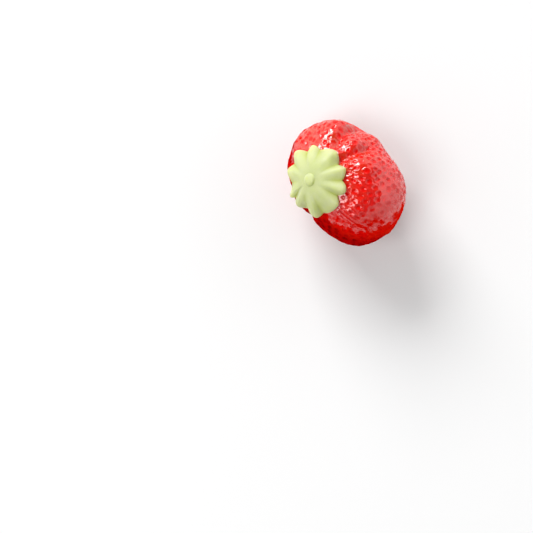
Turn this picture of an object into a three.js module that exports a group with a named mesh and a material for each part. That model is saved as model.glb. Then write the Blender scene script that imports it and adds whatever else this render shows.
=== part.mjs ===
// A moulded marzipan strawberry: a red fruit body full of seed pits, and a pale green
// leaf cap pressed onto its stem end.
// Millimetres, +Z up. The origin is the middle of the small flat spot that the fruit rests on.
import * as THREE from "three";
import { ConvexHull } from "three/addons/math/ConvexHull.js";
import { mergeVertices } from "three/addons/utils/BufferGeometryUtils.js";

// ---- How the fruit lies: its stem end leans over, so the cap looks up and to one side.
const STEM_TILT = 41.5; // degrees from straight up to the stem
const STEM_HEADING = 184; // degrees from +X, seen from above, that the stem leans to
const CENTRE = new THREE.Vector3(0.5, -0.4, 13.9); // the fruit's radius is measured from here
const CALM_FROM = 15; // degrees round straight down where the pits are pressed out
const CALM_TO = 24; // and where they have their full depth again

// ---- The fruit's body: a squat, oval heart.
const FRUIT_RADIUS = 14.1;
const STEM_SHIFT = -0.05; // shares of the radius, from stem to tip: less at the stem, more at the tip,
const SQUATNESS = -0.09; // less at both ends and more round the middle,
const FULL_BELOW = 0.03; // and more just below the middle
const OVAL = 0.13; // the body is wider along its mould seam than across it
const SEAM_AZIMUTH = -50; // degrees round the stem
const BASIN_DEPTH = 0.4; // the hollow that the cap sits in
const BASIN_WIDTH = 24; // degrees
// Broad places where the soft paste swelled, was pressed in, and settled under its own weight:
// heading, elevation and width in degrees.
const CHEEKS = [
  { heading: -78, elevation: -10, width: 28, height: 1.5 },
  { heading: 48.5, elevation: 0.5, width: 36, height: -1.98 },
  { heading: -54, elevation: -68, width: 22, height: 1.95 },
  { heading: 147, elevation: -11.5, width: 22, height: 0.54 },
  { heading: 53.5, elevation: 4.5, width: 22.5, height: 1.58 },
  { heading: -8, elevation: 10, width: 34, height: 0.39 },
];
// The shoulders round the cap, which stand out between the creases. Polar is degrees from the stem.
const SHOULDERS = [
  { polar: 66.3, azimuth: 9.8, width: 14, height: 1.06 },
  { polar: 65.7, azimuth: 48.5, width: 11.2, height: 1.17 },
  { polar: 69.3, azimuth: 79.4, width: 15.4, height: 1.63 },
  { polar: 62, azimuth: 130, width: 14, height: -0.18 },
  { polar: 46, azimuth: 164, width: 11, height: 0.45 },
  { polar: 48, azimuth: 204, width: 12, height: 0.9 },
  { polar: 62, azimuth: 255, width: 14, height: 0.1 },
  { polar: 62, azimuth: 322, width: 15, height: 0.5 },
];
// Creases that run down from under the cap. Azimuth is at 45 degrees from the stem, and drift is
// how far it turns with each degree further down. From the stem, in degrees, a crease begins at
// from, has its full depth at deepest, and has run out at to.
const CREASES = [
  { azimuth: 59.1, drift: 0.17, from: 26, deepest: 88, to: 121.6, depth: 1.13, width: 2.55 },
  { azimuth: 60.8, drift: 0.24, from: 40, deepest: 56, to: 112, depth: 0.61, width: 0.97 },
  { azimuth: 31.3, drift: 0.07, from: 24, deepest: 42, to: 92, depth: 0.99, width: 1.44 },
  { azimuth: 8, drift: 0, from: 26, deepest: 42, to: 62, depth: 0.35, width: 1.6 },
  { azimuth: 104, drift: 0.1, from: 24, deepest: 40, to: 70, depth: 0.5, width: 1.5 },
  { azimuth: 148, drift: -0.2, from: 24, deepest: 40, to: 80, depth: 0.4, width: 1.6 },
  { azimuth: 190, drift: 0.2, from: 24, deepest: 40, to: 66, depth: 0.5, width: 1.5 },
  { azimuth: 232, drift: -0.1, from: 24, deepest: 40, to: 88, depth: 0.9, width: 1.6 },
  { azimuth: 278, drift: 0.2, from: 24, deepest: 40, to: 72, depth: 0.5, width: 1.5 },
];
const CREASE_END = 16; // degrees that a crease takes to run out

// ---- The seed pits, in the spirals of a real berry. Each has a raised rim, and the skin is a
// little lower again where three rims meet.
const PIT_COUNT = 780;
const PIT_DEPTH = 0.23;
const PIT_RIM = 0.66; // radius of the rim
const PIT_SIDES = 5;
const RIM_RISE = 0.05;
const HOLLOW_DEPTH = 0.05;
const PITS_FROM = 35; // degrees from the stem where the pits begin, under the cap's rim
const PITS_FULL = 43; // and where they have their full depth

// ---- The leaf cap: a rosette of puffed leaves round a button.
// The leaves round the stem: the azimuth of the notch that a leaf begins at and of its tip, and
// how many degrees from the stem each of them reaches. A blunter leaf has a squarer end.
const LEAVES = [
  { notch: -180, notchReach: 36.5, tip: -160, tipReach: 44, bluntness: 2 },
  { notch: -153, notchReach: 37, tip: -139, tipReach: 45, bluntness: 2 },
  { notch: -121, notchReach: 39.2, tip: -97, tipReach: 41.8, bluntness: 1.4 },
  { notch: -82, notchReach: 38.5, tip: -47, tipReach: 39.9, bluntness: 1.45 },
  { notch: -34, notchReach: 34.2, tip: -22, tipReach: 40.8, bluntness: 2.4 },
  { notch: -7, notchReach: 36.1, tip: 13, tipReach: 41.4, bluntness: 1.3 },
  { notch: 25, notchReach: 34.8, tip: 47, tipReach: 41.6, bluntness: 1.5 },
  { notch: 74, notchReach: 33.4, tip: 90, tipReach: 37.4, bluntness: 1.7 },
  { notch: 104, notchReach: 32.3, tip: 126, tipReach: 39.2, bluntness: 1.45 },
  { notch: 143, notchReach: 32.5, tip: 158, tipReach: 38.8, bluntness: 1.5 },
];
const EVEN_REACH = 38; // the rosette's reach if it had no leaves
const LEAF_THICKNESS = 1.25;
const GROOVE_DEPTH = 0.62; // between two leaves, at the rim
const BUTTON_RADIUS = 1.35;
const BUTTON_HEIGHT = 0.55;
const CAP_GAP = 0.3; // the layer of sugar glaze that holds the cap on
const STEPS_PER_LEAF = 12;
// The cap's section from the middle of its underside, round the rim, to the top of the button:
// shares of its reach and of its thickness.
const UNDERSIDE = [0, 0.35, 0.65, 0.88, 0.99];
const RIM = [[1, 0.3], [0.995, 0.62], [0.965, 0.87], [0.91, 0.97]];
const TOP = [0.8, 0.68, 0.55, 0.42, 0.3, 0.2, 0.155, 0.135, 0.1, 0.06, 0];

const GOLDEN_ANGLE = 180 * (3 - Math.sqrt(5));
const radians = THREE.MathUtils.degToRad;
const degrees = THREE.MathUtils.radToDeg;
const { smoothstep } = THREE.MathUtils;

// The direction with this heading from +X and this elevation above level, in degrees.
function compass(heading, elevation) {
  const level = Math.cos(radians(elevation));
  return new THREE.Vector3(
    level * Math.cos(radians(heading)),
    level * Math.sin(radians(heading)),
    Math.sin(radians(elevation)),
  );
}

// The fruit's own axes. Azimuth 0 round the stem is the side that looks up, away from the lean.
const down = new THREE.Vector3(0, 0, -1);
const stem = compass(STEM_HEADING, 90 - STEM_TILT);
const upperSide = compass(STEM_HEADING + 180, STEM_TILT);
const leftSide = new THREE.Vector3().crossVectors(stem, upperSide);

// The direction at these degrees from the stem and this azimuth round it.
function fromStem(polar, azimuth) {
  const outward = Math.sin(radians(polar));
  return new THREE.Vector3()
    .addScaledVector(stem, Math.cos(radians(polar)))
    .addScaledVector(upperSide, outward * Math.cos(radians(azimuth)))
    .addScaledVector(leftSide, outward * Math.sin(radians(azimuth)));
}

function degreesBetween(a, b) {
  return degrees(a.angleTo(b));
}

// The turn from one azimuth to another, from -180 to 180 degrees.
function turn(from, to) {
  return THREE.MathUtils.euclideanModulo(to - from + 180, 360) - 180;
}

function bell(x) {
  return Math.exp(-x * x);
}

// How far one crease cuts in at a place on the fruit.
function creaseCut(crease, polar, azimuth) {
  const middle = crease.azimuth + crease.drift * (polar - 45);
  const across = radians(turn(middle, azimuth)) * FRUIT_RADIUS * Math.sin(radians(polar));
  const begun = smoothstep(polar, crease.from, crease.deepest);
  const ended = smoothstep(polar, crease.to - CREASE_END, crease.to);
  return crease.depth * begun * (1 - ended) * bell(across / crease.width);
}

// The fruit's radius from CENTRE in a direction, without its pits.
function fruitRadius(direction) {
  const polar = degreesBetween(direction, stem);
  const azimuth = degrees(Math.atan2(direction.dot(leftSide), direction.dot(upperSide)));
  const c = Math.cos(radians(polar));
  const squat = (3 * c * c - 1) / 2;
  const heart = (5 * c * c * c - 3 * c) / 2;
  const profile = 1 + STEM_SHIFT * c + SQUATNESS * squat + FULL_BELOW * heart;
  const oval = 1 + OVAL * (1 - c * c) * Math.cos(2 * radians(azimuth - SEAM_AZIMUTH));
  let radius = FRUIT_RADIUS * profile * oval - BASIN_DEPTH * bell(polar / BASIN_WIDTH);
  for (const { heading, elevation, width, height } of CHEEKS) {
    radius += height * bell(degreesBetween(direction, compass(heading, elevation)) / width);
  }
  for (const shoulder of SHOULDERS) {
    const middle = fromStem(shoulder.polar, shoulder.azimuth);
    radius += shoulder.height * bell(degreesBetween(direction, middle) / shoulder.width);
  }
  for (const crease of CREASES) radius -= creaseCut(crease, polar, azimuth);
  return radius;
}

// The share of its full depth that a pit has: none under the cap and none on the resting spot.
function pitShare(direction) {
  const clearOfCap = smoothstep(degreesBetween(direction, stem), PITS_FROM, PITS_FULL);
  return clearOfCap * smoothstep(degreesBetween(direction, down), CALM_FROM, CALM_TO);
}

// A point of the skin, which is pressed flat where it would pass through the table at z = 0.
function skinPoint(direction, cut) {
  let reach = fruitRadius(direction) - cut;
  if (CENTRE.z + reach * direction.z < 0) reach = -CENTRE.z / direction.z;
  return CENTRE.clone().addScaledVector(direction, reach);
}

// The seeds' directions, spread evenly in spirals from the stem to the tip.
function seedDirections() {
  return Array.from({ length: PIT_COUNT }, (_, i) => {
    const polar = degrees(Math.acos(1 - (2 * i + 1) / PIT_COUNT));
    return fromStem(polar, i * GOLDEN_ANGLE);
  });
}

// The ring of directions along a pit's rim, round its seed.
function rimRing(seed) {
  const spread = PIT_RIM / FRUIT_RADIUS;
  const level = new THREE.Vector3().crossVectors(seed, stem).normalize();
  const steep = new THREE.Vector3().crossVectors(level, seed);
  return Array.from({ length: PIT_SIDES }, (_, i) => {
    const angle = (2 * Math.PI * i) / PIT_SIDES;
    return seed
      .clone()
      .addScaledVector(level, spread * Math.cos(angle))
      .addScaledVector(steep, spread * Math.sin(angle))
      .normalize();
  });
}

// The hull of points on a sphere joins each point to its nearest neighbours: its triangles.
function hullTriangles(points) {
  return new ConvexHull().setFromPoints(points).faces.map(({ edge }) => {
    return [edge.head().point, edge.next.head().point, edge.next.next.head().point];
  });
}

function fruitBody() {
  const seeds = seedDirections();
  const cuts = new Map(); // direction -> how far the skin lies below the fruit's radius
  for (const seed of seeds) {
    const share = pitShare(seed);
    cuts.set(seed, share * PIT_DEPTH);
    if (share > 0) rimRing(seed).forEach((side) => cuts.set(side, -share * RIM_RISE));
  }
  for (const [a, b, c] of hullTriangles(seeds)) {
    const meeting = a.clone().add(b).add(c).normalize();
    cuts.set(meeting, pitShare(meeting) * HOLLOW_DEPTH);
  }
  const corners = hullTriangles([...cuts.keys()]).flat();
  const skin = corners.map((direction) => skinPoint(direction, cuts.get(direction)));
  return mergeVertices(new THREE.BufferGeometry().setFromPoints(skin), 1e-4);
}

// The places round the rosette are counted in leaves: whole in a notch, and a half at a tip.
function leafAt(place) {
  return LEAVES[Math.floor(place) % LEAVES.length];
}

// The azimuth at a place round the rosette.
function leafAzimuth(place) {
  const { notch, tip } = leafAt(place);
  const nextNotch = notch + THREE.MathUtils.euclideanModulo(leafAt(place + 1).notch - notch, 360);
  const half = 2 * (place % 1);
  if (half < 1) return THREE.MathUtils.lerp(notch, tip, half);
  return THREE.MathUtils.lerp(tip, nextNotch, half - 1);
}

// Where a place lies across its leaf: 0 at the tip, 1 in the notch on either side.
function acrossLeaf(place) {
  return Math.abs(2 * (place % 1) - 1);
}

// The outline falls from a leaf's tip to the notch on either side.
function leafReach(place) {
  const { tipReach, bluntness } = leafAt(place);
  const { notchReach } = leafAt(place + 0.5);
  return THREE.MathUtils.lerp(tipReach, notchReach, acrossLeaf(place) ** bluntness);
}

// Degrees from the stem at a share of the way to the rosette's edge: even rings near the button,
// which take on the leaves' outline further out.
function capPolar(share, place) {
  return share * EVEN_REACH + share ** 4 * (leafReach(place) - EVEN_REACH);
}

// The cap's thickness at a share of its reach, with a groove between every two leaves.
function capThickness(share, place) {
  const groove = smoothstep(share, 0.25, 0.95) * smoothstep(acrossLeaf(place), 0, 1);
  return LEAF_THICKNESS - GROOVE_DEPTH * groove;
}

// How far the button stands above the leaves at a distance from the stem.
function buttonRise(distance) {
  const inside = 1 - (distance / BUTTON_RADIUS) ** 4;
  return inside > 0 ? BUTTON_HEIGHT * Math.sqrt(inside) : 0;
}

function leafCap() {
  const section = [
    ...UNDERSIDE.map((share) => new THREE.Vector2(share, 0)),
    ...RIM.map(([share, level]) => new THREE.Vector2(share, level)),
    ...TOP.map((share) => new THREE.Vector2(share, 1)),
  ];
  const disc = new THREE.LatheGeometry(section, LEAVES.length * STEPS_PER_LEAF);
  const places = disc.getAttribute("position");
  for (let i = 0; i < places.count; i++) {
    const share = Math.hypot(places.getX(i), places.getZ(i));
    const level = places.getY(i);
    const round = share > 0 ? Math.atan2(places.getX(i), places.getZ(i)) / (2 * Math.PI) : 0;
    const place = LEAVES.length * THREE.MathUtils.euclideanModulo(round, 1);
    const polar = capPolar(share, place);
    const direction = fromStem(polar, leafAzimuth(place));
    const radius = fruitRadius(direction);
    const rise = buttonRise(radius * radians(polar));
    const lift = CAP_GAP + level * (capThickness(share, place) + rise);
    places.setXYZ(i, ...CENTRE.clone().addScaledVector(direction, radius + lift));
  }
  disc.deleteAttribute("normal");
  disc.deleteAttribute("uv");
  return mergeVertices(disc, 1e-4);
}

const sugarRed = new THREE.MeshStandardMaterial({ color: 0xc8140c, roughness: 0.18, metalness: 0 });
const leafGreen = new THREE.MeshStandardMaterial({ color: 0xd9e58e, roughness: 0.6, metalness: 0 });

const fruit = new THREE.Mesh(fruitBody(), sugarRed);
fruit.name = "fruit_body";
const cap = new THREE.Mesh(leafCap(), leafGreen);
cap.name = "leaf_cap";

const strawberry = new THREE.Group();
strawberry.add(fruit, cap);

export default strawberry;
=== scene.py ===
# %% [markdown]
# # A marzipan strawberry
# This notebook dresses a small sweet: a strawberry moulded from marzipan paste, sprayed red,
# glazed with sugar, and finished with a pale green leaf cap. The solid part already gives its
# place and size, and each cell below makes one piece or one finish of the dressed part. Lengths
# are given in millimetres, as a confectioner would measure them, and become metres when a mesh
# is written, because Blender's own unit is the metre.

# %% Load the fixed frame
import math

import bmesh
import bpy
import numpy as np
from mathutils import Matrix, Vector, kdtree, noise


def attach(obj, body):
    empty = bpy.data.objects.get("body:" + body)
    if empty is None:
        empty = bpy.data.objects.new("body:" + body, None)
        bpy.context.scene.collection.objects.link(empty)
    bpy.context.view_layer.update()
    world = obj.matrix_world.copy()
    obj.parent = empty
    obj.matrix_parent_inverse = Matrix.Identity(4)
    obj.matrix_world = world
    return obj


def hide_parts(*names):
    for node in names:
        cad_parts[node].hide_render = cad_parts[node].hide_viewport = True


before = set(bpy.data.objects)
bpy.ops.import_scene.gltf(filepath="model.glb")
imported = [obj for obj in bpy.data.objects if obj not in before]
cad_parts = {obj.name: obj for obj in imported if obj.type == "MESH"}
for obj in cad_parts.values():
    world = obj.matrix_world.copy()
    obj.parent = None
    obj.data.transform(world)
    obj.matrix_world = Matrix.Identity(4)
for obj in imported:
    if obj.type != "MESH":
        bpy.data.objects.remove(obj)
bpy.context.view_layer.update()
MM = 0.001

# %% [markdown]
# ## The camera
# The sweet lies on a table and the camera looks straight down on it. It stands a little to the
# side, so the sweet sits in the upper right of the picture, as one of a scattered handful would.
# A wide lens held close would make the round body bulge towards the viewer, so a long lens is
# used, a forearm's length away. A new camera already looks straight down, so it needs no turn.

# %% Camera straight above the table
LENS = 100
SENSOR = 36
BODY_MIDDLE = np.array([0.5, -0.4, 13.9])  # the point inside the fruit that its radius starts from
CAMERA_ABOVE_MIDDLE = 370
CAMERA_ASIDE = np.array([-19.5, -21.7])  # from the fruit's middle, so that it isn't centred

lens = bpy.data.cameras.new("camera")
lens.lens = LENS
lens.sensor_width = SENSOR
camera = bpy.data.objects.new("camera", lens)
camera.location = Vector((
    (BODY_MIDDLE[0] + CAMERA_ASIDE[0]) * MM,
    (BODY_MIDDLE[1] + CAMERA_ASIDE[1]) * MM,
    (BODY_MIDDLE[2] + CAMERA_ABOVE_MIDDLE) * MM,
))
bpy.context.scene.collection.objects.link(camera)
bpy.context.scene.camera = camera
print("picture width at the fruit's middle:", round(SENSOR / LENS * CAMERA_ABOVE_MIDDLE, 1), "mm")

# %% [markdown]
# ## Directions on the fruit
# Everything on a fruit is placed by two angles: how far down from the stem, and how far round it.
# One could model an upright fruit and tip it over at the end, but a finished piece must lie
# unturned at the origin. So the stem itself leans, and these helpers turn the two angles into a
# direction in the room and back. They work on whole arrays of directions at once, because the
# skin has about a hundred thousand points and a loop over them would be slow.

# %% Headings and elevations in the room


def compass(heading, elevation):
    """The direction with this heading from +X and this elevation, both in degrees."""
    level = math.cos(math.radians(elevation))
    east, north = math.cos(math.radians(heading)), math.sin(math.radians(heading))
    return np.array([level * east, level * north, math.sin(math.radians(elevation))])


print("heading 90, elevation 0 is", np.round(compass(90, 0), 3))

# %% The fruit's own axes
STEM_TILT = 41.5  # degrees from straight up
STEM_HEADING = 184

stem = compass(STEM_HEADING, 90 - STEM_TILT)
upper_side = compass(STEM_HEADING + 180, STEM_TILT)
left_side = np.cross(stem, upper_side)


def from_stem(polar, azimuth):
    """Directions at these degrees from the stem and this azimuth round it."""
    polar, azimuth = np.radians(polar), np.radians(azimuth)
    return (
        np.cos(polar)[..., None] * stem
        + (np.sin(polar) * np.cos(azimuth))[..., None] * upper_side
        + (np.sin(polar) * np.sin(azimuth))[..., None] * left_side
    )


def polar_of(directions):
    return np.degrees(np.arccos(np.clip(directions @ stem, -1, 1)))


def azimuth_of(directions):
    return np.degrees(np.arctan2(directions @ left_side, directions @ upper_side))


print("stem direction:", np.round(stem, 3), "and the tip's:", np.round(-stem, 3))

# %% [markdown]
# ## Soft shapes from two curves
# Almost every form on this sweet is a soft swelling or a soft edge. Two curves make them all: a
# bell, which is 1 in its middle and fades to nothing, and a rise, which goes from 0 to 1 without
# a corner. A sharp limit would leave a step in the skin, and paste has none.

# %% A bell, a rise and an angle between


def bell(x):
    return np.exp(-x * x)


def rise_between(low, high, value):
    """0 below low, 1 above high, and a smooth step between."""
    share = np.clip((value - low) / (high - low), 0, 1)
    return share * share * (3 - 2 * share)


def angle_between(directions, towards):
    """Degrees from each direction to one of them."""
    return np.degrees(np.arccos(np.clip(directions @ towards, -1, 1)))


def turn(start, end):
    """The turn from one azimuth to another, from -180 to 180 degrees."""
    return (end - start + 180) % 360 - 180


print("the turn from 350 to 10 degrees is", turn(350, 10), "degrees")

# %% [markdown]
# ## The shape of the pressed paste
# A strawberry mould has two halves, so the body is an oval, widest along its seam, and it is less
# long than wide. Sculpting by hand would give such a form quickly, but nobody could measure it
# afterwards. Here one formula gives the distance from the middle to the skin in any direction,
# and it is the same formula as the solid part's, so the two never drift apart. It starts with
# the oval and a shallow basin under the cap.

# %% The oval and its basin
FRUIT_RADIUS = 14.1
STEM_SHIFT = -0.05  # less at the stem, more at the tip
SQUATNESS = -0.09  # less at both ends and more round the middle
FULL_BELOW = 0.03  # more just below the middle
OVAL = 0.13
SEAM_AZIMUTH = -50
BASIN_DEPTH = 0.4
BASIN_WIDTH = 24


def oval_radius(polar, azimuth):
    c = np.cos(np.radians(polar))
    squat, heart = (3 * c**2 - 1) / 2, (5 * c**3 - 3 * c) / 2
    profile = 1 + STEM_SHIFT * c + SQUATNESS * squat + FULL_BELOW * heart
    oval = 1 + OVAL * (1 - c**2) * np.cos(2 * np.radians(azimuth - SEAM_AZIMUTH))
    return FRUIT_RADIUS * profile * oval - BASIN_DEPTH * bell(polar / BASIN_WIDTH)


print("bare oval at its seam:", oval_radius(np.array(90.0), SEAM_AZIMUTH).round(2), "mm")

# %% [markdown]
# ## Swellings and dents
# Soft paste swells and dents when it is turned out by hand and laid down. Each place is a bell on
# the skin: broad ones are given by their heading in the room, because they come from how the
# sweet lies, and the smaller ones round the cap by their angles from the stem, because they come
# from the mould. A negative height is a dent.

# %% Where the paste swells
CHEEKS = [  # heading, elevation, width in degrees, height in mm
    (-78, -10, 28, 1.5),
    (48.5, 0.5, 36, -1.98),
    (-54, -68, 22, 1.95),
    (147, -11.5, 22, 0.54),
    (53.5, 4.5, 22.5, 1.58),
    (-8, 10, 34, 0.39),
]
LOBES = [  # degrees from the stem, azimuth, width in degrees, height in mm
    (69.3, 79.4, 15.4, 1.63),
    (65.7, 48.5, 11.2, 1.17),
    (66.3, 9.8, 14, 1.06),
    (62, 130, 14, -0.18),
    (46, 164, 11, 0.45),
    (48, 204, 12, 0.9),
    (62, 255, 14, 0.1),
    (62, 322, 15, 0.5),
]
print("highest swelling:", max(place[-1] for place in CHEEKS + LOBES), "mm")

# %% Add up the swellings


def swelling(directions):
    """Height in mm that the cheeks and lobes add."""
    height = np.zeros(len(directions))
    for heading, elevation, width, rise in CHEEKS:
        height += rise * bell(angle_between(directions, compass(heading, elevation)) / width)
    for polar, azimuth, width, rise in LOBES:
        middle = from_stem(np.array(polar), np.array(azimuth))
        height += rise * bell(angle_between(directions, middle) / width)
    return height


print("at the stem they add", swelling(stem[None])[0].round(2), "mm")

# %% [markdown]
# ## Creases
# Creases run down from under the cap, most of them between two of the lobes round it. A crease
# could be cut as a groove with the knife tools, but its walls would be too sharp for paste. It is
# a long bell instead: narrow across, and slowly deeper and shallower along its way, which may
# drift round the fruit as it goes down.

# %% Where the creases run
CREASES = [  # azimuth and drift, where it begins, is deepest and ends, depth, width
    (59.1, 0.17, 26, 88, 121.6, 1.13, 2.55),
    (60.8, 0.24, 40, 56, 112, 0.61, 0.97),
    (31.3, 0.07, 24, 42, 92, 0.99, 1.44),
    (8, 0, 26, 42, 62, 0.35, 1.6),
    (104, 0.1, 24, 40, 70, 0.5, 1.5),
    (148, -0.2, 24, 40, 80, 0.4, 1.6),
    (190, 0.2, 24, 40, 66, 0.5, 1.5),
    (232, -0.1, 24, 40, 88, 0.9, 1.6),
    (278, 0.2, 24, 40, 72, 0.5, 1.5),
]
CREASE_END = 16  # degrees that a crease takes to run out
DRIFT_FROM = 45  # degrees from the stem where a line is at its own azimuth
print(len(CREASES), "creases, the deepest", max(crease[-2] for crease in CREASES), "mm")

# %% Cut the creases into the body


def along_skin(middle, azimuth, polar):
    """How far an azimuth is from another, measured round the fruit in mm."""
    return np.radians(turn(middle, azimuth)) * FRUIT_RADIUS * np.sin(np.radians(polar))


def crease_cut(crease, polar, azimuth):
    start, drift, first, deepest, last, depth, width = crease
    across = along_skin(start + drift * (polar - DRIFT_FROM), azimuth, polar)
    begun = rise_between(first, deepest, polar)
    ended = rise_between(last - CREASE_END, last, polar)
    return depth * begun * (1 - ended) * bell(across / width)


def body_radius(directions):
    """Distance in mm from the fruit's middle to its bare skin."""
    polar, azimuth = polar_of(directions), azimuth_of(directions)
    radius = oval_radius(polar, azimuth) + swelling(directions)
    return radius - sum(crease_cut(crease, polar, azimuth) for crease in CREASES)


print("radius at the stem and the tip:", body_radius(np.array([stem, -stem])).round(2), "mm")

# %% [markdown]
# ## Pits
# The mould presses a pit for every seed, in the spirals that seeds grow in: each next one is a
# golden angle further round, which keeps them evenly spaced without rows. A little stray, from a
# seeded random draw, keeps them from looking machined. Each pit has a raised rim round a small
# hollow. A bump texture would be cheaper, but the outline of the fruit shows its pits, so they
# are real dents in the mesh.

# %% Where the pits are
PIT_COUNT = 780
GOLDEN_ANGLE = 180 * (3 - math.sqrt(5))
PIT_STRAY = 0.24  # mm that a pit strays from its even place
rng = np.random.default_rng(7)

order = np.arange(PIT_COUNT)
pit_polar = np.degrees(np.arccos(1 - (2 * order + 1) / PIT_COUNT))
pits = from_stem(pit_polar, order * GOLDEN_ANGLE)
pits = pits + rng.normal(0, PIT_STRAY / FRUIT_RADIUS, pits.shape)
pits /= np.linalg.norm(pits, axis=1)[:, None]
pit_round = np.cross(stem, pits)  # the level direction at each pit
pit_round /= np.linalg.norm(pit_round, axis=1)[:, None]
pit_down = np.cross(pit_round, pits)
pit_size = rng.uniform(0.88, 1.12, PIT_COUNT)
pit_strength = rng.uniform(0.5, 1.3, PIT_COUNT)
print(PIT_COUNT, "pits, the first", pit_polar[0].round(1), "degrees from the stem")

# %% Find the nearest pit
PIT_LENGTH = 1.25  # pits and rims are longer towards the tip than across

pit_tree = kdtree.KDTree(PIT_COUNT)
for index, place in enumerate(pits):
    pit_tree.insert(Vector(place * FRUIT_RADIUS), index)
pit_tree.balance()


def nearest_pit(directions):
    """Each point's nearest pit, and how far from it the point is, in mm of a pit of size 1."""
    nearest = np.array([pit_tree.find(Vector(d))[1] for d in directions * FRUIT_RADIUS])
    offset = (directions - pits[nearest]) * FRUIT_RADIUS
    across = np.einsum("ij,ij->i", offset, pit_round[nearest])
    along = np.einsum("ij,ij->i", offset, pit_down[nearest]) / PIT_LENGTH
    return nearest, np.hypot(across, along) / pit_size[nearest]


print("from the tip to its nearest pit:", nearest_pit(-stem[None])[1].round(2), "mm")

# %% [markdown]
# ## How deep the pits are
# The pits are not alike all over. They fade out under the cap, and straight below, where the
# sweet rests on the table. On one patch the liquid glaze ran together and half filled them, so
# they are shallower there. Glaze is also thinner in a pit than round it, and the middle of a pit
# is painted darker, as painted shade. How dry each point is gets kept for the finish, for both.

# %% The relief of the pits
RIM_RADIUS = 0.66  # from the middle of a pit to the top of its rim
RIM_WIDTH = 0.19
RIM_HEIGHT = 0.11
PIT_RADIUS = 0.46
PIT_DEPTH = 0.17
HOLLOW_DEPTH = 0.05  # how much lower all the pitted skin lies
BELOW_CAP = (35, 43)  # degrees from the stem between which the pits begin
OFF_TABLE = (15, 24)  # degrees from straight down between which they end
# the same distances set where the painted shade of a pit fades out
DRAINED = (0.3, 0.85)  # distances from a pit between which the glaze grows full
POOL = (-29, 43)  # heading and elevation where glaze has filled the pits
POOL_WIDTH = 22
POOL_FILL = 0.55


def pit_relief(directions):
    """Height of the skin in mm from pits and rims, and where glaze drains and shade is painted."""
    nearest, distance = nearest_pit(directions)
    rim = RIM_HEIGHT * bell((distance - RIM_RADIUS) / RIM_WIDTH)
    pit = PIT_DEPTH * bell(distance / PIT_RADIUS)
    share = rise_between(*BELOW_CAP, polar_of(directions))
    share = share * rise_between(*OFF_TABLE, angle_between(directions, np.array([0, 0, -1])))
    share *= 1 - POOL_FILL * bell(angle_between(directions, compass(*POOL)) / POOL_WIDTH)
    strength = share * pit_strength[nearest]
    dry_and_pit_shade = np.minimum(strength, 1) * (1 - rise_between(*DRAINED, distance))
    return strength * (rim - pit) - share * HOLLOW_DEPTH, dry_and_pit_shade


print("height in the middle of one pit:", pit_relief(pits[400:401])[0].round(2), "mm")

# %% [markdown]
# ## The mould line
# Where the two halves of the mould meet, paste is squeezed into the gap and leaves fine raised
# lines on both sides of the fruit. An array of thin strips laid on the skin would show their
# ends. Four narrow bells across one line give the same ridges, and they rise out of the skin as
# paste does. The pits fade out along the middle of the band.

# %% Raise the mould line
SEAM_START = -53  # azimuth
SEAM_DRIFT = -0.04  # degrees that the line turns for each degree down
SEAM_LINES = [(-1.3, 0.12), (-0.45, 0.3), (0.4, 0.28), (1.15, 0.16)]  # place and height, in mm
SEAM_LINE_WIDTH = 0.19
SEAM_BAND = 1.8  # mm from the middle over which nearness to the mould lines fades
SEAM_BEGINS = (30, 45)  # degrees from the stem
SEAM_ENDS = (150, 165)


def seam_relief(polar, azimuth):
    """Height of the mould lines in mm, and how near they are, from 0 to 1."""
    height = np.zeros_like(polar)
    nearness = np.zeros_like(polar)
    for side in (0, 180):
        middle = SEAM_START + side + SEAM_DRIFT * (polar - DRIFT_FROM)
        across = along_skin(middle, azimuth, polar)
        for place, rise in SEAM_LINES:
            height += rise * bell((across - place) / SEAM_LINE_WIDTH)
        nearness = np.maximum(nearness, bell(across / SEAM_BAND))
    share = rise_between(*SEAM_BEGINS, polar) * (1 - rise_between(*SEAM_ENDS, polar))
    return height * share, nearness * share


print("highest mould line:", max(rise for place, rise in SEAM_LINES), "mm")

# %% [markdown]
# ## Unevenness and pleats
# Paste is never quite even. Noise of several widths, drawn out from the stem towards the tip,
# makes it look pressed by hand, while one width alone would look like wallpaper. Beside the cap,
# where the skin is drawn in, it has fine pleats: a sine wave round the stem, which noise keeps
# from being regular.

# %% Uneven paste
UNEVEN = [  # width, length from stem to tip and height, in mm
    (6.0, 6.0, 0.18),
    (2.4, 3.0, 0.1),
    (1.1, 2.0, 0.08),
    (0.6, 0.8, 0.025),
]


def uneven_relief(directions):
    """Swellings that are drawn out from the stem towards the tip."""
    round_stem = directions @ np.array([upper_side, left_side]).T * FRUIT_RADIUS
    down_skin = np.radians(polar_of(directions)) * FRUIT_RADIUS
    height = np.zeros(len(directions))
    for width, length, rise in UNEVEN:
        places = np.column_stack([round_stem / width, down_skin / length])
        height += rise * np.array([noise.noise(Vector(p)) for p in places])
    return height


print("unevenness at the tip:", uneven_relief(-stem[None])[0].round(3), "mm")

# %% Pleats beside the cap
PLEAT_HEIGHT = 0.018
PLEAT_COUNT = 52  # round the whole fruit, though only a stretch of them shows
PLEAT_MIDDLE, PLEAT_SPREAD = 10, 50  # azimuth
PLEAT_POLAR, PLEAT_LENGTH = 46, 8  # degrees from the stem
WANDER_DETAIL = 4
WANDER = 14  # how far the noise pushes a pleat aside, in radians of its wave


def pleat_relief(directions, polar, azimuth):
    aside = WANDER * np.array([noise.noise(Vector(d * WANDER_DETAIL)) for d in directions])
    fold = np.sin(np.radians(PLEAT_COUNT * azimuth) + aside)
    beside_cap = bell((polar - PLEAT_POLAR) / PLEAT_LENGTH)
    return PLEAT_HEIGHT * fold * beside_cap * bell(turn(PLEAT_MIDDLE, azimuth) / PLEAT_SPREAD)


print("a pleat every", round(360 / PLEAT_COUNT, 1), "degrees")

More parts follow.
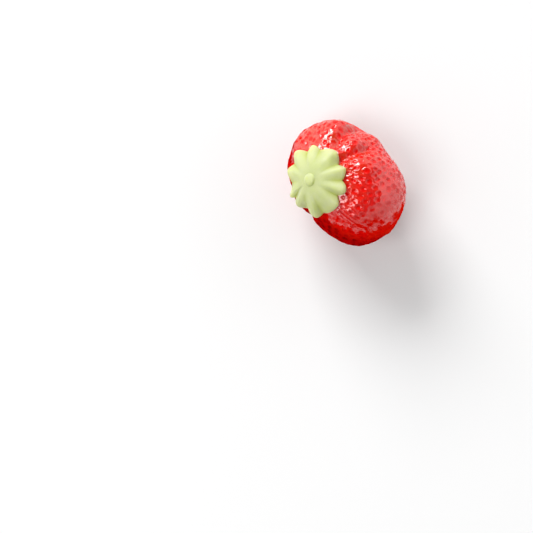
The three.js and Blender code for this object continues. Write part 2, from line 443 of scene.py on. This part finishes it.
# %% [markdown]
# ## A ball with even squares
# A globe with poles pinches its squares together at both ends, and detail there turns to spikes.
# A cube that is subdivided and pushed out to a ball has squares of nearly one size everywhere.
# Its flat coordinates are first bent by a tangent, which spaces the squares more evenly still.

# %% Cut a cube into a ball
CUTS = 127  # 128 squares to an edge: 0.17 mm each on the skin


def cube_ball():
    """A subdivided cube, and the direction that each of its points goes out to."""
    bm = bmesh.new()
    bmesh.ops.create_cube(bm, size=2)
    bmesh.ops.subdivide_edges(bm, edges=bm.edges[:], cuts=CUTS, use_grid_fill=True)
    corners = np.array([v.co for v in bm.verts])
    directions = np.tan(corners * math.pi / 4)
    directions /= np.linalg.norm(directions, axis=1)[:, None]
    return bm, directions


print("squares on the ball:", 6 * (CUTS + 1) ** 2)

# %% Turn a bmesh into a finished piece


def move_points(bm, places):
    """Put each point at its place, given in mm."""
    for vertex, place in zip(bm.verts, places):
        vertex.co = Vector(place * MM)


def finished_mesh(bm, name):
    mesh = bpy.data.meshes.new(name)
    bmesh.ops.recalc_face_normals(bm, faces=bm.faces[:])
    bm.to_mesh(mesh)
    bm.free()
    mesh.polygons.foreach_set("use_smooth", [True] * len(mesh.polygons))
    piece = bpy.data.objects.new(name, mesh)
    bpy.context.scene.collection.objects.link(piece)
    return piece


def keep_measure(piece, name, values):
    """Store one number for each point, which a material can read by its name."""
    attribute = piece.data.attributes.new(name, "FLOAT", "POINT")
    attribute.data.foreach_set("value", np.asarray(values, np.float32))


print("helpers ready: move_points, finished_mesh, keep_measure")

# %% [markdown]
# ## The fruit body
# Each point of the ball is pushed out to the skin and then by all the fine relief. Where a point
# would pass through the table, it is pressed flat against it, as soft paste is. Four measures are
# kept on the mesh for the finish: how dry of glaze a point is, which also places the painted shade
# in the pits; how far it lies from the painted shade of the underside; how far it faces the key
# light, where light is painted on as a darker orange; and how much glaze was poured on it.
# Painting them by hand would do as well, but would have to be done again after every change of
# shape.

# %% Add up the fine relief
SEAM_CLEAR = (0.72, 0.95)  # nearness to the mould line between which the pits end
UNDER_CAP = (30, 36)  # degrees from the stem between which all relief begins


def fruit_relief(directions):
    """Height of the fine relief in mm, and where glaze drains and pit shade is painted."""
    polar, azimuth = polar_of(directions), azimuth_of(directions)
    pitted, dry_and_pit_shade = pit_relief(directions)
    seam, nearness = seam_relief(polar, azimuth)
    beside_seam = 1 - rise_between(*SEAM_CLEAR, nearness)
    height = pitted * beside_seam + seam + uneven_relief(directions)
    height += pleat_relief(directions, polar, azimuth)
    return height * rise_between(*UNDER_CAP, polar), dry_and_pit_shade * beside_seam


def skin_points(directions, height):
    """Points of the skin in mm, pressed flat where they would pass through the table."""
    reach = body_radius(directions) + height
    below = BODY_MIDDLE[2] + reach * directions[:, 2] < 0
    reach[below] = -BODY_MIDDLE[2] / directions[below, 2]
    return BODY_MIDDLE + directions * reach[:, None]


print("lowest point:", skin_points(np.array([[0, 0, -1.0]]), np.zeros(1))[0].round(2), "mm")

# %% Shape the fruit
SIDES = {  # heading and elevation it comes from, and the cosines between which it grows full
    # the upper side, away from the painted shade of the underside
    "clear_of_shade": ((50, 60), (-0.15, 0.2)),
    # the side facing the key light, where its light is painted in as a darker orange
    "key_side": ((125, 40), (0.2, 0.8)),
    "glaze": ((80, 62), (-0.12, 0.53)),
}


def make_fruit():
    bm, directions = cube_ball()
    height, dry_and_pit_shade = fruit_relief(directions)
    move_points(bm, skin_points(directions, height))
    piece = finished_mesh(bm, "fruit_skin")
    keep_measure(piece, "dry_and_pit_shade", dry_and_pit_shade)
    for name, (towards, edge) in SIDES.items():
        keep_measure(piece, name, rise_between(*edge, directions @ compass(*towards)))
    return piece


fruit = make_fruit()
print("fruit skin:", len(fruit.data.polygons), "squares")

# %% [markdown]
# ## The leaf cap
# The rosette is moulded on its own from green paste: ten leaves with a groove between each two,
# and a button in the middle. It could be cut from a flat sheet and bent, but a bend on a round
# body needs much fitting. Its section is turned once round the stem with the spin operator
# instead, like a small dish, and the dish is laid on the fruit by the same radius formula. No two
# leaves are alike, so each has its own line in the list.

# %% The ten leaves
LEAVES = [  # azimuth and reach of the notch it begins at, and of its tip, and how blunt it ends
    (-180, 36.5, -160, 44, 2),
    (-153, 37, -139, 45, 2),
    (-121, 39.2, -97, 41.8, 1.4),
    (-82, 38.5, -47, 39.9, 1.45),
    (-34, 34.2, -22, 40.8, 2.4),
    (-7, 36.1, 13, 41.4, 1.3),
    (25, 34.8, 47, 41.6, 1.5),
    (74, 33.4, 90, 37.4, 1.7),
    (104, 32.3, 126, 39.2, 1.45),
    (143, 32.5, 158, 38.8, 1.5),
]
LEAF_COUNT = len(LEAVES)
notch_azimuth, notch_reach, tip_azimuth, tip_reach, bluntness = np.array(LEAVES).T
print(LEAF_COUNT, "leaves, the longest", tip_reach.max(), "degrees from the stem")

# %% Go round the outline


def leaf_azimuth(turns):
    """Azimuth at a place counted in leaves: whole in a notch, and a half at a tip."""
    places = np.column_stack([notch_azimuth, tip_azimuth]).ravel()
    return np.interp(2 * turns, range(2 * LEAF_COUNT + 1), np.append(places, places[0] + 360))


def across_leaf(turns):
    """0 at a leaf's tip and 1 in the notch on either side."""
    return np.abs(2 * (turns % 1) - 1)


def leaf_reach(turns):
    """Degrees from the stem to the edge, which falls from a leaf's tip to its two notches."""
    leaf = turns.astype(int) % LEAF_COUNT
    notch = np.rint(turns).astype(int) % LEAF_COUNT
    fall = across_leaf(turns) ** bluntness[leaf]
    return tip_reach[leaf] + fall * (notch_reach[notch] - tip_reach[leaf])


print("reach in the first notch and at the first tip:", leaf_reach(np.array([0.0, 0.5])))

# %% Grooves, button and thickness
LEAF_THICKNESS = 1.25
GROOVE_DEPTH = 0.62
GROOVE_RUN = (0.25, 0.95)  # shares of the reach between which a groove deepens
BUTTON_RADIUS = 1.35
BUTTON_HEIGHT = 0.55
BUTTON_FLATNESS = 4
EVEN_REACH = 38  # degrees from the stem to the rosette's edge, if it had no leaves
OUTLINE_POWER = 4  # the higher, the nearer to the edge the outline begins to tell


def cap_polar(share, turns):
    """Degrees from the stem at a share of the reach."""
    return share * EVEN_REACH + share**OUTLINE_POWER * (leaf_reach(turns) - EVEN_REACH)


def cap_thickness(share, turns):
    groove = rise_between(*GROOVE_RUN, share) * rise_between(0, 1, across_leaf(turns))
    return LEAF_THICKNESS - GROOVE_DEPTH * groove


def button_rise(distance):
    inside = np.clip(1 - (distance / BUTTON_RADIUS) ** BUTTON_FLATNESS, 0, 1)
    return BUTTON_HEIGHT * np.sqrt(inside)


print("thickness at a tip and in a notch:", cap_thickness(1.0, np.array([0.5, 0.0])), "mm")

# %% [markdown]
# ## The section of the dish
# The section runs from the middle of the underside out to the rim, round the rim in a half
# circle, and back over the top to the middle. It is drawn in shares, 0 to 1 outwards and 0 to 1
# upwards, because the real lengths change from leaf to leaf.

# %% Draw the section
RIM_SHARE = 0.08  # share of the reach over which the edge rounds off
UNDERSIDE_RINGS = 10
RIM_RINGS = 14
TOP_RINGS = 64


def cap_section():
    """Shares of the reach and of the thickness, from the underside's middle to the top's."""
    inner = 1 - RIM_SHARE
    section = [(inner * i / UNDERSIDE_RINGS, 0) for i in range(UNDERSIDE_RINGS + 1)]
    for i in range(1, RIM_RINGS):
        angle = math.pi * i / RIM_RINGS
        section.append((inner + RIM_SHARE * math.sin(angle), (1 - math.cos(angle)) / 2))
    return section + [(inner * (1 - i / TOP_RINGS), 1) for i in range(TOP_RINGS + 1)]


print("points in the section:", len(cap_section()))

# %% Spin the dish
STEPS_PER_LEAF = 36
MERGE_DISTANCE = 1e-6


def spun_dish():
    bm = bmesh.new()
    points = [bm.verts.new((share, 0, level)) for share, level in cap_section()]
    line = [bm.edges.new(pair) for pair in zip(points, points[1:])]
    bmesh.ops.spin(
        bm, geom=points + line, axis=(0, 0, 1), cent=(0, 0, 0), angle=2 * math.pi,
        steps=LEAF_COUNT * STEPS_PER_LEAF, use_merge=True, use_duplicate=False,
    )
    bmesh.ops.remove_doubles(bm, verts=bm.verts[:], dist=MERGE_DISTANCE)
    return bm


print("steps round the stem:", LEAF_COUNT * STEPS_PER_LEAF)

# %% Lay the dish on the fruit
CAP_GAP = 0.3  # the solid cap's gap, which the paste's underside fills here
PRESSED_IN = 0.1  # how far the underside lies below the fruit's smooth skin
# painted shade: where a groove's darker green begins and how it gathers at the notches
GROOVE_SHADE_RUN = (0.35, 0.9)  # shares of the reach between which a groove's colour deepens
GROOVE_SHADE_POWER = 3


def make_cap():
    bm = spun_dish()
    dish = np.array([v.co for v in bm.verts])
    share, level = np.hypot(dish[:, 0], dish[:, 1]), dish[:, 2]
    turns = np.arctan2(dish[:, 1], dish[:, 0]) / (2 * math.pi) % 1 * LEAF_COUNT
    polar = cap_polar(share, turns)
    directions = from_stem(polar, leaf_azimuth(turns))
    radius = body_radius(directions)
    top = CAP_GAP + cap_thickness(share, turns) + button_rise(radius * np.radians(polar))
    lift = level * top - (1 - level) * PRESSED_IN
    move_points(bm, BODY_MIDDLE + directions * (radius + lift)[:, None])
    piece = finished_mesh(bm, "leaf_rosette")
    # painted shade: how darkly each groove is painted
    groove_shade = rise_between(*GROOVE_SHADE_RUN, share) * across_leaf(turns) ** GROOVE_SHADE_POWER
    keep_measure(piece, "groove", groove_shade)
    return piece


cap = make_cap()
print("leaf cap:", len(cap.data.polygons), "faces")

# %% [markdown]
# ## Nodes for the finishes
# A finish in Blender is a small network of nodes that ends in one shader. Writing it in code
# rather than in the editor keeps every value beside its reason. These helpers add a node, and
# blend two colours or two values by a mask, so that each finish below reads as a recipe.

# %% Materials and single nodes


def new_material(name):
    material = bpy.data.materials.new(name)
    material.use_nodes = True
    tree = material.node_tree
    return material, tree, tree.nodes["Principled BSDF"]


def add_node(tree, kind, **settings):
    node = tree.nodes.new(kind)
    for key, value in settings.items():
        setattr(node, key, value)
    return node


def set_sockets(node, values):
    for title, value in values.items():
        node.inputs[title].default_value = value


def measure(tree, name):
    """The measure of this name that was kept on the mesh."""
    return add_node(tree, "ShaderNodeAttribute", attribute_name=name).outputs["Fac"]


print("helpers ready: new_material, add_node, set_sockets, measure")

# %% Blends by a mask


def blend_colour(tree, mask, first, second):
    """A colour that goes from the first to the second as the mask goes from 0 to 1."""
    mix = add_node(tree, "ShaderNodeMix", data_type="RGBA")
    tree.links.new(mask, mix.inputs["Factor"])
    for socket, colour in (("A", first), ("B", second)):
        if isinstance(colour, tuple):
            mix.inputs[socket].default_value = (*colour, 1)
        else:
            tree.links.new(colour, mix.inputs[socket])
    return mix.outputs["Result"]


def blend_value(tree, mask, first, second):
    """A value that goes from the first to the second as the mask goes from 0 to 1."""
    blend = add_node(tree, "ShaderNodeMapRange")
    set_sockets(blend, {"To Min": first, "To Max": second})
    tree.links.new(mask, blend.inputs["Value"])
    return blend.outputs["Result"]


print("helpers ready: blend_colour, blend_value")

# %% Ramps, sums and products


def ramp(tree, value, start, end, low=0.0, high=1.0):
    """Goes smoothly from low to high as the value goes from start to end."""
    node = add_node(tree, "ShaderNodeMapRange", interpolation_type="SMOOTHSTEP")
    set_sockets(node, {"From Min": start, "From Max": end, "To Min": low, "To Max": high})
    tree.links.new(value, node.inputs["Value"])
    return node.outputs["Result"]


def reckon(tree, operation, first, second):
    """The sum or product of two values."""
    node = add_node(tree, "ShaderNodeMath", operation=operation)
    tree.links.new(first, node.inputs[0])
    tree.links.new(second, node.inputs[1])
    return node.outputs["Value"]


print("helpers ready: ramp, reckon")

# %% [markdown]
# ## Two shared effects
# Both pastes are blotchy and both have a faint grain, only in different sizes. So each effect is
# a node group, made once and placed in each material with its own values. Both read object
# coordinates, which count in metres from the object's origin, so their sizes are real ones.

# %% A group with named sockets


def new_group(name, inputs, output):
    """A shader node group with number sockets, given with their usual values, and one output."""
    group = bpy.data.node_groups.new(name, "ShaderNodeTree")
    for title, value in inputs.items():
        socket = group.interface.new_socket(title, in_out="INPUT", socket_type="NodeSocketFloat")
        socket.default_value = value
    group.interface.new_socket(output, in_out="OUTPUT", socket_type="NodeSocketFloat")
    return group, group.nodes.new("NodeGroupInput"), group.nodes.new("NodeGroupOutput")


def add_group(tree, group, values):
    """The first output of a node group that is placed with its own values."""
    node = add_node(tree, "ShaderNodeGroup", node_tree=group)
    set_sockets(node, values)
    return node.outputs[0]


print("helpers ready: new_group, add_group")

# %% Soft mottle: blotches with soft edges


def mottle_group():
    """A mask from 0 to 1 that wanders over the surface."""
    inputs = {"Blotches per metre": 300.0, "Low": 0.4, "High": 0.6}
    group, given, result = new_group("soft_mottle", inputs, "Mask")
    link = group.links.new
    place = add_node(group, "ShaderNodeTexCoord")
    cloud = add_node(group, "ShaderNodeTexNoise")
    set_sockets(cloud, {"Detail": 3, "Roughness": 0.55})
    spread = add_node(group, "ShaderNodeMapRange", interpolation_type="SMOOTHSTEP")
    link(place.outputs["Object"], cloud.inputs["Vector"])
    link(given.outputs["Blotches per metre"], cloud.inputs["Scale"])
    link(cloud.outputs["Fac"], spread.inputs["Value"])
    link(given.outputs["Low"], spread.inputs["From Min"])
    link(given.outputs["High"], spread.inputs["From Max"])
    link(spread.outputs["Result"], result.inputs["Mask"])
    return group


soft_mottle = mottle_group()


def mottle(tree, blotches_per_metre, low, high):
    values = {"Blotches per metre": blotches_per_metre, "Low": low, "High": high}
    return add_group(tree, soft_mottle, values)


print("node group:", soft_mottle.name, "with", len(soft_mottle.nodes), "nodes")

# %% Skin grain: ripples with a small grain on them


def grain_group():
    """Height of a fine skin, from 0 to 1."""
    inputs = {"Ripples per metre": 900.0, "Grains per metre": 5000.0, "Grain share": 0.2}
    group, given, result = new_group("skin_grain", inputs, "Height")
    link = group.links.new
    place = add_node(group, "ShaderNodeTexCoord")
    both = add_node(group, "ShaderNodeMix", data_type="FLOAT")
    for side, title in (("A", "Ripples per metre"), ("B", "Grains per metre")):
        cloud = add_node(group, "ShaderNodeTexNoise")
        cloud.inputs["Detail"].default_value = 2
        link(place.outputs["Object"], cloud.inputs["Vector"])
        link(given.outputs[title], cloud.inputs["Scale"])
        link(cloud.outputs["Fac"], both.inputs[side])
    link(given.outputs["Grain share"], both.inputs["Factor"])
    link(both.outputs["Result"], result.inputs["Height"])
    return group


skin_grain = grain_group()
print("node group:", skin_grain.name, "with", len(skin_grain.nodes), "nodes")

# %% Bump a surface by the grain


def add_grain(tree, shader, ripples_per_metre, grains_per_metre, grain_share, height):
    """Bump the shader's surface by the grain, whose full height is given in mm."""
    values = {"Ripples per metre": ripples_per_metre, "Grains per metre": grains_per_metre,
              "Grain share": grain_share}
    bump = add_node(tree, "ShaderNodeBump")
    bump.inputs["Distance"].default_value = height * MM
    tree.links.new(add_group(tree, skin_grain, values), bump.inputs["Height"])
    tree.links.new(bump.outputs["Normal"], shader.inputs["Normal"])


print("helper ready: add_grain")

# %% [markdown]
# ## The sprayed red, with painted shade and light
# Food colour is sprayed on, so the upper side is a bright red with warmer clouds in it. The side
# that faces the key light is painted a darker orange red, as painted light: it holds the red down
# where the key is strongest and stands in for the key's glow through the paste. Low down, the red
# is painted deep, as painted shade of the underside, and the pits are painted darker, as painted
# shade in them. One flat red would look like plastic, and a painted picture would have to be
# fitted to the skin, so the kept measures choose between a few plain colours. They are given as
# linear light, in which half the number looks much brighter than half as bright.

# %% The red of each place
SPRAY_RED = (0.84, 0.003, 0.0015)
WARM_RED = (0.86, 0.013, 0.003)
# painted light: a darker orange red on the side facing the key light
KEY_SIDE_ORANGE = (0.42, 0.036, 0.005)
# painted shade: pits a little darker than the red round them
PIT_SHADE_RED = (0.78, 0.003, 0.0015)
# painted shade: the deep red of the underside
UNDERSIDE_SHADE_RED = (0.46, 0.0012, 0.001)
# painted shade: pits on the underside, darker still
UNDERSIDE_PIT_SHADE_RED = (0.27, 0.001, 0.001)
WARM_CLOUDS = (260.0, 0.38, 0.66)  # blotches per metre, and the noise between which they grow
# clouds of the painted orange on the side facing the key light
KEY_SIDE_CLOUDS = (120.0, 0.25, 0.75)


def sugar_colour(tree):
    warm = mottle(tree, *WARM_CLOUDS)
    upper_red = blend_colour(tree, warm, SPRAY_RED, WARM_RED)
    # painted light: orange clouds where the key light falls
    orange = blend_colour(tree, mottle(tree, *KEY_SIDE_CLOUDS), upper_red, KEY_SIDE_ORANGE)
    upper_red = blend_colour(tree, measure(tree, "key_side"), upper_red, orange)
    # painted shade in the pits, on the upper side and on the underside
    upper_red = blend_colour(tree, measure(tree, "dry_and_pit_shade"), upper_red, PIT_SHADE_RED)
    deep = blend_colour(tree, measure(tree, "dry_and_pit_shade"), UNDERSIDE_SHADE_RED, UNDERSIDE_PIT_SHADE_RED)
    # painted shade: the underside gets the deep red, and the upper side keeps its bright red
    return blend_colour(tree, measure(tree, "clear_of_shade"), deep, upper_red)


print("reds from", UNDERSIDE_PIT_SHADE_RED, "to", WARM_RED)

# %% [markdown]
# ## The sugar glaze
# The glaze is a clear hard layer, which the shader's coat is made for: it adds mirror-like
# highlights over the soft paste. It is poured from above and lies in patches where little of it
# fell: the more glaze, the more of the skin the patches cover. It is thinner in the pits and on
# the side that faces the key light. The paste under it has no shine of its own.

# %% Where the glaze lies
GLAZE_PATCHES = (430.0, 0.3, 0.7)
BARE, COVERED = -0.75, 0.75  # added to the patches where no glaze and where all glaze fell
PATCH_EDGE = (0.3, 0.7)
LEFT_IN_PITS = 0.3
LEFT_ON_KEY_SIDE = 0.86


def glaze_weight(tree):
    """How much coat the skin has, from 0 to 1."""
    fallen = blend_value(tree, measure(tree, "glaze"), BARE, COVERED)
    patches = reckon(tree, "ADD", mottle(tree, *GLAZE_PATCHES), fallen)
    weight = ramp(tree, patches, *PATCH_EDGE)
    for name, left in (("dry_and_pit_shade", LEFT_IN_PITS), ("key_side", LEFT_ON_KEY_SIDE)):
        kept = blend_value(tree, measure(tree, name), 1.0, left)
        weight = reckon(tree, "MULTIPLY", weight, kept)
    return weight


print("glaze left in the pits:", LEFT_IN_PITS)

# %% Red sugar over the fruit
SUGAR_DULLNESS = (700.0, 0.35, 0.7)
SUGAR_ROUGHNESS = (0.22, 0.34)
SUGAR_GRAIN = (2000.0, 5000.0, 0.1, 0.2)  # ripples and grains per metre, grain share, height
SUGAR_CONSTANTS = {
    "Coat IOR": 1.95,
    "Coat Roughness": 0.03,
    "Specular IOR Level": 0,
    "Subsurface Weight": 0.3,
    "Subsurface Radius": (1.0, 0.2, 0.1),
    "Subsurface Scale": 1 * MM,
}


def red_sugar():
    material, tree, shader = new_material("red_sugar")
    tree.links.new(sugar_colour(tree), shader.inputs["Base Color"])
    rough = blend_value(tree, mottle(tree, *SUGAR_DULLNESS), *SUGAR_ROUGHNESS)
    tree.links.new(rough, shader.inputs["Roughness"])
    tree.links.new(glaze_weight(tree), shader.inputs["Coat Weight"])
    add_grain(tree, shader, *SUGAR_GRAIN)
    set_sockets(shader, SUGAR_CONSTANTS)
    return material


fruit.data.materials.append(red_sugar())
print("fruit finish:", fruit.data.materials[0].name)

# %% [markdown]
# ## The green paste
# The cap is plain marzipan with a little green in it, unglazed and matt. What makes it look like
# almond paste and not like paint is the light that passes through its thin leaves, so it has a
# strong subsurface part, which travels some millimetres. Two close greens wander over it, and the
# grooves are painted a darker, stronger green, as painted shade where little light reaches in.

# %% Green paste on the cap
LEAF_PALE = (0.525, 0.575, 0.275)
LEAF_FRESH = (0.495, 0.555, 0.235)
# painted shade: the darker, stronger green in the grooves
GROOVE_SHADE_GREEN = (0.44, 0.51, 0.07)
GREEN_CLOUDS = (350.0, 0.35, 0.7)
PASTE_DULLNESS = (900.0, 0.3, 0.7)
PASTE_ROUGHNESS = (0.42, 0.56)
PASTE_GRAIN = (500.0, 3500.0, 0.25, 0.1)  # ripples and grains per metre, grain share, height
PASTE_CONSTANTS = {
    "Subsurface Weight": 0.85,
    "Subsurface Radius": (1.0, 1.0, 0.35),
    "Subsurface Scale": 5 * MM,
}


def green_paste():
    material, tree, shader = new_material("green_paste")
    green = blend_colour(tree, mottle(tree, *GREEN_CLOUDS), LEAF_PALE, LEAF_FRESH)
    # painted shade in the grooves
    green = blend_colour(tree, measure(tree, "groove"), green, GROOVE_SHADE_GREEN)
    tree.links.new(green, shader.inputs["Base Color"])
    rough = blend_value(tree, mottle(tree, *PASTE_DULLNESS), *PASTE_ROUGHNESS)
    tree.links.new(rough, shader.inputs["Roughness"])
    add_grain(tree, shader, *PASTE_GRAIN)
    set_sockets(shader, PASTE_CONSTANTS)
    return material


cap.data.materials.append(green_paste())
print("cap finish:", cap.data.materials[0].name)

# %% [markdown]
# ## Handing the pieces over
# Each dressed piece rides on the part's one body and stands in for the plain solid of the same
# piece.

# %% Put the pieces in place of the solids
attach(fruit, "root")
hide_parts("fruit_body")
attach(cap, "root")
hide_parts("leaf_cap")
print("dressed pieces:", fruit.name, "and", cap.name)

# %% [markdown]
# ## The table
# A wide pale sheet, larger than the picture, carries the sweet's shadow and throws some light
# back up at it. Its white is a little below full, since no real paper gives back all the light.

# %% Lay the table
TABLE_HALF_WIDTH = 2  # metres
TABLE_WHITE = 0.9
TABLE_ROUGHNESS = 0.6


def make_table():
    bm = bmesh.new()
    bmesh.ops.create_grid(bm, x_segments=1, y_segments=1, size=TABLE_HALF_WIDTH)
    piece = finished_mesh(bm, "table")
    material, tree, shader = new_material("white_table")
    white = (TABLE_WHITE, TABLE_WHITE, TABLE_WHITE, 1)
    set_sockets(shader, {"Base Color": white, "Roughness": TABLE_ROUGHNESS})
    piece.data.materials.append(material)
    return piece


table = make_table()
print("table:", 2 * TABLE_HALF_WIDTH, "m wide")

# %% [markdown]
# ## Soft boxes
# A glossy thing shows its lights as bright shapes on its skin, so the size of a light matters as
# much as its place. The key light is a broad box, low in the upper left, which throws the shadow
# to the lower right and makes the pits' rims sparkle. A second box, high on the left, fills the
# cap. Each is given by its brightness, and its power follows from that and from its size, so a
# box can be made larger without dimming its highlight.

# %% Hang two soft boxes
LIGHT_DISTANCE = 3.0  # metres


def soft_box(name, heading, elevation, size, brightness):
    light = bpy.data.lights.new(name, "AREA")
    light.shape = "RECTANGLE"
    light.size, light.size_y = size
    light.energy = brightness * math.pi * size[0] * size[1]
    lamp = bpy.data.objects.new(name, light)
    place = Vector(compass(heading, elevation)) * LIGHT_DISTANCE
    lamp.location = place
    lamp.rotation_euler = place.to_track_quat("Z", "Y").to_euler()
    bpy.context.scene.collection.objects.link(lamp)
    return lamp


lamps = [
    soft_box("key_light", heading=119, elevation=31, size=(1.75, 1.25), brightness=11.8),
    soft_box("high_panel", heading=205, elevation=60, size=(1.4, 1.4), brightness=4.5),
]
print("power in watts:", [round(lamp.data.energy, 1) for lamp in lamps])

# %% [markdown]
# ## The room
# The rest of the light comes from a plain room: pale walls all round and a dark ceiling. Straight
# reflections on the top of the fruit show the ceiling, so its red stays deep there, and the
# slopes show the walls and turn pink. The wall on the viewer's side of the table is dimmer. A
# picture of a real room would give the same, but three values are easier to change.

# %% Walls and ceiling
WALL_STRENGTH = 1.06
CEILING_STRENGTH = 0.12
CEILING_EDGE = (0.62, 0.7)  # how high a direction is where the ceiling begins and is full
FRONT_SHARE = 0.48
FRONT_EDGE = (-0.9, 0.0)  # how far to the back a direction is where the front ends

world = bpy.data.worlds.new("studio")
bpy.context.scene.world = world
world.use_nodes = True
tree = world.node_tree
towards = add_node(tree, "ShaderNodeTexCoord")
parts = add_node(tree, "ShaderNodeSeparateXYZ")
tree.links.new(towards.outputs["Generated"], parts.inputs["Vector"])
height = ramp(tree, parts.outputs["Z"], *CEILING_EDGE, WALL_STRENGTH, CEILING_STRENGTH)
front = ramp(tree, parts.outputs["Y"], *FRONT_EDGE, FRONT_SHARE)
background = tree.nodes["Background"]
tree.links.new(reckon(tree, "MULTIPLY", height, front), background.inputs["Strength"])
background.inputs["Color"].default_value = (1, 1, 1, 1)
bpy.context.scene.view_settings.view_transform = "Standard"
print("room: walls", WALL_STRENGTH, "and ceiling", CEILING_STRENGTH)
